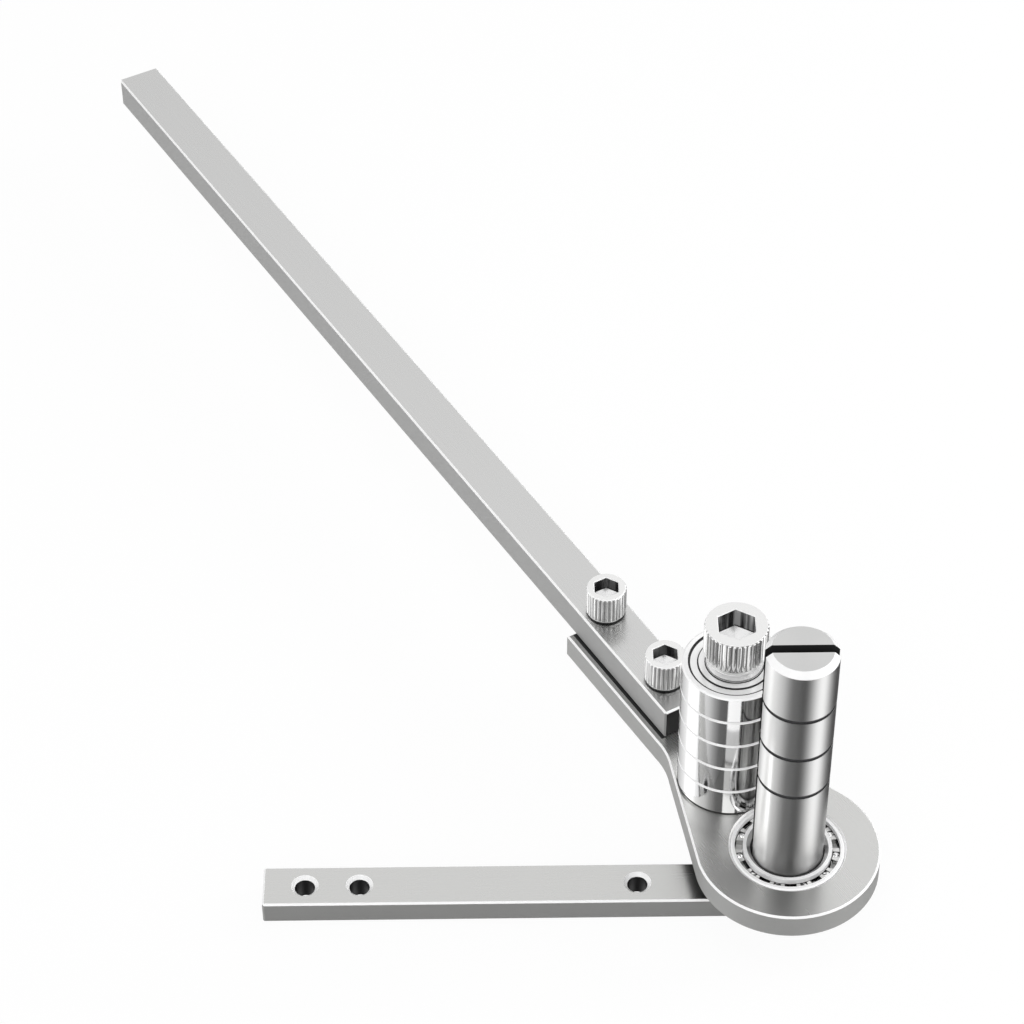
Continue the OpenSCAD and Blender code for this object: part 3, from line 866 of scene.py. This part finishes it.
class BENDER_OT_roller_bolt(Operator):
    """Builds the roller bolt with its knurled head and hexagon socket"""

    bl_idname = "bender.roller_bolt"
    bl_label = "Build Roller Bolt"

    # Millimetres
    head_height = 8.8
    shank = 8.0
    cone = (0.55, 1.3)
    # Metalness of the head's side, and how light the socket's streaks are
    side_metal = 0.8
    socket_tone = 1.2

    def execute(self, context):
        look, sizes = context.scene.bender_finish, context.scene.bender_screws
        low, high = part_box("roller_bolt")
        height = self.head_height * MM
        size = ScrewSize(
            head=high.x - low.x,
            height=height,
            shank=self.shank * MM,
            reach=high.z - height - low.z,
            cone=(self.cone[0] * MM, self.cone[1] * MM),
            knurls=sizes.bolt_knurls,
            knurl_depth=sizes.bolt_knurl_depth,
            key=sizes.bolt_key,
            key_depth=sizes.bolt_key_depth,
            mouth=sizes.mouth_bevel,
        )
        place = arm_place(ROLLER_OFFSET * MM, high.z - height)
        mesh = knurled_screw("roller_bolt_knurled", size)
        mesh.transform(Matrix.Translation(place))
        mesh.materials.append(screw_steel(
            look, "roller bolt steel", size, [place], high.z, self.side_metal, self.socket_tone
        ))
        new_piece("roller_bolt_knurled", mesh, "arm", "screw_steel", "roller_bolt")
        return {"FINISHED"}


def screw_row_tree():
    """Geometry Nodes that put a screw at each point, then make them one mesh with one material."""
    tree = bpy.data.node_groups.new("Screw Row", "GeometryNodeTree")
    tree.interface.new_socket(name="Points", in_out="INPUT", socket_type="NodeSocketGeometry")
    screw = tree.interface.new_socket(name="Screw", in_out="INPUT", socket_type="NodeSocketObject")
    steel = tree.interface.new_socket(name="Steel", in_out="INPUT", socket_type="NodeSocketMaterial")
    tree.interface.new_socket(name="Screws", in_out="OUTPUT", socket_type="NodeSocketGeometry")
    source = tree.nodes.new("NodeGroupInput")
    result = tree.nodes.new("NodeGroupOutput")
    pick = tree.nodes.new("GeometryNodeObjectInfo")
    place = tree.nodes.new("GeometryNodeInstanceOnPoints")
    real = tree.nodes.new("GeometryNodeRealizeInstances")
    paint = tree.nodes.new("GeometryNodeSetMaterial")
    for start, end in (
        (source.outputs["Screw"], pick.inputs["Object"]),
        (source.outputs["Points"], place.inputs["Points"]),
        (pick.outputs["Geometry"], place.inputs["Instance"]),
        (place.outputs[0], real.inputs[0]),
        (real.outputs[0], paint.inputs["Geometry"]),
        (source.outputs["Steel"], paint.inputs["Material"]),
        (paint.outputs[0], result.inputs[0]),
    ):
        feed(tree, start, end)
    return tree, screw.identifier, steel.identifier


def plain_mesh(carrier, name):
    """The evaluated result of an object's modifiers, as a mesh of its own."""
    context = bpy.context
    context.view_layer.update()
    evaluated = carrier.evaluated_get(context.evaluated_depsgraph_get())
    mesh = bpy.data.meshes.new_from_object(evaluated)
    mesh.name = name
    return mesh


class BENDER_OT_handle_screws(Operator):
    """Builds the two handle screws with Geometry Nodes, from one knurled screw"""

    bl_idname = "bender.handle_screws"
    bl_label = "Build Handle Screws"

    # Millimetres: the screws' distances along the arm, their sizes, and the heights, from the seat, of the
    # painted shade at each head's foot
    rows = (48.4, 72.6)
    head = 9.0
    head_height = 7.5
    shank = 5.0
    cone = (0.35, 0.9)
    foot = (-0.01, 0.5)
    # Metalness of the heads' sides, and how light the sockets' streaks are
    side_metal = 0.6
    socket_tone = 0.4

    def execute(self, context):
        look, sizes = context.scene.bender_finish, context.scene.bender_screws
        low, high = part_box("handle_screws")
        height = self.head_height * MM
        seat = high.z - height
        size = ScrewSize(
            head=self.head * MM,
            height=height,
            shank=self.shank * MM,
            reach=seat - low.z,
            cone=(self.cone[0] * MM, self.cone[1] * MM),
            knurls=sizes.screw_knurls,
            knurl_depth=sizes.screw_knurl_depth,
            key=sizes.screw_key,
            key_depth=sizes.screw_key_depth,
            mouth=sizes.mouth_bevel,
        )
        places = [arm_place(row * MM, seat) for row in self.rows]
        foot = (seat + self.foot[0] * MM, seat + self.foot[1] * MM)
        steel = screw_steel(
            look, "handle screw steel", size, places, high.z, self.side_metal, self.socket_tone, foot
        )
        mesh = self.build_row(context, knurled_screw("handle_screw_pattern", size), places, steel)
        new_piece("handle_screws_knurled", mesh, "arm", "screw_steel", "handle_screws")
        return {"FINISHED"}

    def build_row(self, context, pattern, places, steel):
        """One mesh with a screw at each place."""
        screw = bpy.data.objects.new("handle_screw_pattern", pattern)
        context.scene.collection.objects.link(screw)
        points = bpy.data.meshes.new("handle_screw_points")
        points.from_pydata(places, [], [])
        carrier = bpy.data.objects.new("handle_screw_points", points)
        context.scene.collection.objects.link(carrier)
        tree, screw_input, steel_input = screw_row_tree()
        modifier = carrier.modifiers.new("Screw Row", "NODES")
        modifier.node_group = tree
        modifier[screw_input] = screw
        modifier[steel_input] = steel
        mesh = plain_mesh(carrier, "handle_screws_knurled")
        carrier.modifiers.remove(modifier)
        for helper in (carrier, screw):
            bpy.data.objects.remove(helper)
        if len(mesh.vertices) == 0:
            raise RuntimeError("the screw row came out empty")
        return mesh


# Studio

WHITE = (1.0, 1.0, 1.0)

# Brightness of the tall panels that polished steel mirrors, by the angle from the camera's side (degrees)
PANELS = (
    (-180, 0.15), (-158, 0.5), (-140, 0.72), (-122, 0.95), (-108, 1.6), (-92, 1.55), (-80, 0.97),
    (-68, 0.78), (-56, 0.64), (-44, 0.37), (-30, 0.15), (-8, 0.1), (5, 0.05), (16, 0.08), (27, 0.3),
    (38, 0.64), (52, 1.2), (68, 1.55), (84, 0.75), (99, 0.2), (114, 0.02), (138, 0.02), (160, 0.06),
    (180, 0.15),
)
# Brightness overhead and behind the tool, by the height angle (degrees)
OVERHEAD = (
    (0, 1.0), (32, 0.84), (37, 0.88), (40.5, 0.95), (43.5, 1.06), (46, 1.08), (51, 1.0), (70, 1.0),
    (90, 1.0),
)
# The brightest value that a ramp of angles holds
PEAK = 2.0
# How much darker the ground near the tool is, where one steel part mirrors another
SHADE = 0.95


def band_ramp(tree, value, stops, low, high):
    """A grey ramp over a range of angles. Its stops are degrees and brightness."""
    share_of_range = tree.nodes.new("ShaderNodeMapRange")
    for number, name in ((value, "Value"), (low, "From Min"), (high, "From Max")):
        feed(tree, number, share_of_range.inputs[name])
    ramp = tree.nodes.new("ShaderNodeValToRGB")
    bar = ramp.color_ramp
    while len(bar.elements) < len(stops):
        bar.elements.new(0.5)
    for element, (angle, level) in zip(bar.elements, stops):
        element.position = (angle - low) / (high - low)
        element.color = (level / PEAK, level / PEAK, level / PEAK, 1.0)
    feed(tree, share_of_range.outputs[0], ramp.inputs[0])
    return math_node(tree, "MULTIPLY", ramp.outputs["Color"], PEAK)


def background(tree, tint, strength=1.0):
    """A Background shader."""
    node = tree.nodes.new("ShaderNodeBackground")
    feed(tree, tint, node.inputs["Color"])
    node.inputs["Strength"].default_value = strength
    return node.outputs[0]


def mirrored_room(tree, path):
    """The white room with its panels and dark gaps, as polished steel mirrors it."""
    split = tree.nodes.new("ShaderNodeSeparateXYZ")
    feed(tree, tree.nodes.new("ShaderNodeTexCoord").outputs["Generated"], split.inputs[0])
    back = math_node(tree, "MULTIPLY", split.outputs["Y"], -1.0)
    around = math_node(tree, "DEGREES", math_node(tree, "ARCTAN2", split.outputs["X"], back))
    above = math_node(tree, "DEGREES", math_node(tree, "ARCSINE", split.outputs["Z"]))
    panels = band_ramp(tree, around, PANELS, -180, 180)
    overhead = band_ramp(tree, above, OVERHEAD, 0, 90)

    side = math_node(tree, "ABSOLUTE", around)
    behind = both(tree, smooth_step(tree, side, 105, 140), smooth_step(tree, above, 0, 16))
    # 1 where one steel part mirrors another
    second = math_node(tree, "GREATER_THAN", path["Glossy Depth"], 1.5)
    direct = both(tree, opposite(tree, second), smooth_step(tree, above, 12, 28))
    roof = either(tree, either(tree, behind, direct), smooth_step(tree, above, 66, 84))
    below = opposite(tree, smooth_step(tree, above, 2, 24))
    shade = math_node(tree, "MULTIPLY", both(tree, second, below), SHADE)
    return math_node(tree, "MULTIPLY", mix_value(tree, roof, panels, overhead), opposite(tree, shade))


def studio_world(level):
    """White where the background shows, an even light on matt surfaces, and the room that steel mirrors."""
    world = bpy.data.worlds.new("studio room")
    world.use_nodes = True
    tree = world.node_tree
    tree.nodes.clear()
    path = tree.nodes.new("ShaderNodeLightPath").outputs
    room = background(tree, mirrored_room(tree, path))
    unseen = mix_shader(tree, path["Is Glossy Ray"], background(tree, WHITE, level), room)
    seen = either(tree, path["Is Camera Ray"], path["Is Transmission Ray"])
    whole = mix_shader(tree, seen, unseen, background(tree, WHITE))
    result = tree.nodes.new("ShaderNodeOutputWorld")
    feed(tree, whole, result.inputs["Surface"])
    return world


def floor_material(tint, white_share):
    """A pale matt floor that keeps the tool's shadow. Where it shows it is lifted towards white."""
    material = bpy.data.materials.new("pale floor")
    material.use_nodes = True
    tree = material.node_tree
    shader = tree.nodes["Principled BSDF"]
    feed(tree, tint, shader.inputs["Base Color"])
    shader.inputs["Roughness"].default_value = 0.9
    shader.inputs["Specular IOR Level"].default_value = 0.0
    glow = tree.nodes.new("ShaderNodeEmission")
    feed(tree, WHITE, glow.inputs["Color"])
    path = tree.nodes.new("ShaderNodeLightPath").outputs
    seen = either(tree, path["Is Camera Ray"], path["Is Glossy Ray"])
    seen = either(tree, seen, path["Is Transmission Ray"])
    lifted = math_node(tree, "MULTIPLY", seen, white_share)
    whole = mix_shader(tree, lifted, shader.outputs[0], glow.outputs[0])
    feed(tree, whole, tree.nodes["Material Output"].inputs["Surface"])
    return material


def area_lamp(name, place, watts):
    """An area lamp that no camera shows."""
    lamp = bpy.data.objects.new(name, bpy.data.lights.new(name, "AREA"))
    lamp.data.energy = watts
    lamp.location = place
    lamp.visible_camera = False
    bpy.context.scene.collection.objects.link(lamp)
    return lamp


def soft_lamp(name, place, aim, size, watts):
    """A square soft lamp that points at a place. Steel doesn't mirror it."""
    lamp = area_lamp(name, place, watts)
    lamp.data.size = size
    lamp.rotation_mode = "QUATERNION"
    lamp.rotation_quaternion = (Vector(aim) - Vector(place)).to_track_quat("-Z", "Y")
    lamp.visible_glossy = False


def strip_lamp(name, low, high, level):
    """A small upright strip that faces +Y between two corners. Only polished steel shows it."""
    width, height = high.x - low.x, high.z - low.z
    lamp = area_lamp(name, (low + high) / 2, level * math.pi * width * height)
    lamp.data.shape = "RECTANGLE"
    lamp.data.size, lamp.data.size_y = width, height
    lamp.rotation_euler = (math.radians(90), 0.0, 0.0)
    lamp.visible_diffuse = False


class BENDER_OT_studio(Operator):
    """Sets up the pale floor, the white room, the soft lamps and the camera"""

    bl_idname = "bender.studio"
    bl_label = "Set Up Studio"

    # Metres that the floor lies below the base bar, so that their faces don't coincide
    floor_drop = 0.00005
    # Metres: what the soft lamps point at, and the setting, place and side of each
    lamp_aim = (-0.03, 0.06, 0.03)
    lamps = (
        ("main lamp", "key_power", (-0.1, 0.1, 1.2), 0.6),
        ("front lamp", "front_power", (-0.42, -0.77, 0.8), 0.6),
        ("side lamp", "fill_power", (0.8, 0.3, 0.35), 0.45),
    )
    # Millimetres: two corners of each strip. The last number is its share of the strip lamp's brightness
    strips = (
        ("upper strip", (-17.0, -6.0, 27.0), (-7.0, -6.0, 50.0), 1.0),
        ("lower strip", (-17.0, -6.0, 17.2), (-7.0, -6.0, 27.0), 0.5),
    )
    # The camera's direction, its distance in metres and the point on the bench that it looks at
    eye_height = math.radians(42.996)
    eye_turn = math.radians(0.243)
    eye_roll = math.radians(-0.432)
    eye_distance = 0.769967
    eye_target = Vector((-0.056807, 0.121626, 0.0))

    def execute(self, context):
        scene, look = context.scene, context.scene.bender_studio
        scene.view_settings.view_transform = "Standard"
        scene.world = studio_world(look.world_level)
        self.lay_floor(scene, look)
        for name, setting, place, side in self.lamps:
            soft_lamp(name, place, self.lamp_aim, side, getattr(look, setting))
        for name, low, high, part in self.strips:
            strip_lamp(name, Vector(low) * MM, Vector(high) * MM, look.strip_level * part)
        self.place_camera(scene, look.lens)
        return {"FINISHED"}

    def lay_floor(self, scene, look):
        """The square floor, which steel doesn't mirror."""
        half = look.floor_size / 2
        corners = [(-half, -half, 0), (half, -half, 0), (half, half, 0), (-half, half, 0)]
        mesh = bpy.data.meshes.new("studio_floor")
        mesh.from_pydata(corners, [], [(0, 1, 2, 3)])
        mesh.materials.append(floor_material(look.floor_colour, look.floor_white))
        floor = bpy.data.objects.new("studio_floor", mesh)
        floor.location.z = -self.floor_drop
        floor.visible_glossy = False
        scene.collection.objects.link(floor)

    def place_camera(self, scene, lens):
        """The photograph's viewpoint."""
        ahead = Vector((math.sin(self.eye_turn) * math.cos(self.eye_height),
                        math.cos(self.eye_turn) * math.cos(self.eye_height), -math.sin(self.eye_height)))
        across = Vector((math.cos(self.eye_turn), -math.sin(self.eye_turn), 0.0))
        upright = across.cross(ahead)
        right = across * math.cos(self.eye_roll) + upright * math.sin(self.eye_roll)
        up = upright * math.cos(self.eye_roll) - across * math.sin(self.eye_roll)
        data = bpy.data.cameras.new("camera")
        data.lens, data.sensor_width, data.sensor_fit = lens, 36.0, "AUTO"
        data.clip_start, data.clip_end = 0.01, 50.0
        camera = bpy.data.objects.new("camera", data)
        place = Matrix((right, up, -ahead)).transposed().to_4x4()
        place.translation = self.eye_target - ahead * self.eye_distance
        camera.matrix_world = place
        scene.collection.objects.link(camera)
        scene.camera = camera


# Panel and registration


class BENDER_PT_dressing(Panel):
    """Lists the steps that dress the bender"""

    bl_label = "Flat Bar Bender"
    bl_idname = "BENDER_PT_dressing"
    bl_space_type = "VIEW_3D"
    bl_region_type = "UI"
    bl_category = "Bender"

    def draw(self, context):
        scene = context.scene
        for step in STEPS:
            self.layout.operator(step.bl_idname)
        for settings in (scene.bender_finish, scene.bender_screws, scene.bender_studio):
            box = self.layout.box()
            for key in settings.__annotations__:
                box.prop(settings, key)


SETTINGS = {
    "bender_finish": BenderFinishSettings,
    "bender_screws": BenderScrewSettings,
    "bender_studio": BenderStudioSettings,
}
STEPS = (
    BENDER_OT_ground_bars,
    BENDER_OT_turned_pin,
    BENDER_OT_bearings,
    BENDER_OT_roller_bolt,
    BENDER_OT_handle_screws,
    BENDER_OT_studio,
)


def register():
    for cls in (*SETTINGS.values(), *STEPS, BENDER_PT_dressing):
        bpy.utils.register_class(cls)
    for key, cls in SETTINGS.items():
        setattr(bpy.types.Scene, key, PointerProperty(type=cls))


def unregister():
    for key in SETTINGS:
        delattr(bpy.types.Scene, key)
    for cls in reversed((*SETTINGS.values(), *STEPS, BENDER_PT_dressing)):
        bpy.utils.unregister_class(cls)


def main():
    register()
    bpy.ops.bender.studio()
    bpy.ops.bender.ground_bars()
    bpy.ops.bender.turned_pin()
    bpy.ops.bender.bearings()
    bpy.ops.bender.roller_bolt()
    bpy.ops.bender.handle_screws()


if __name__ == "__main__":
    main()
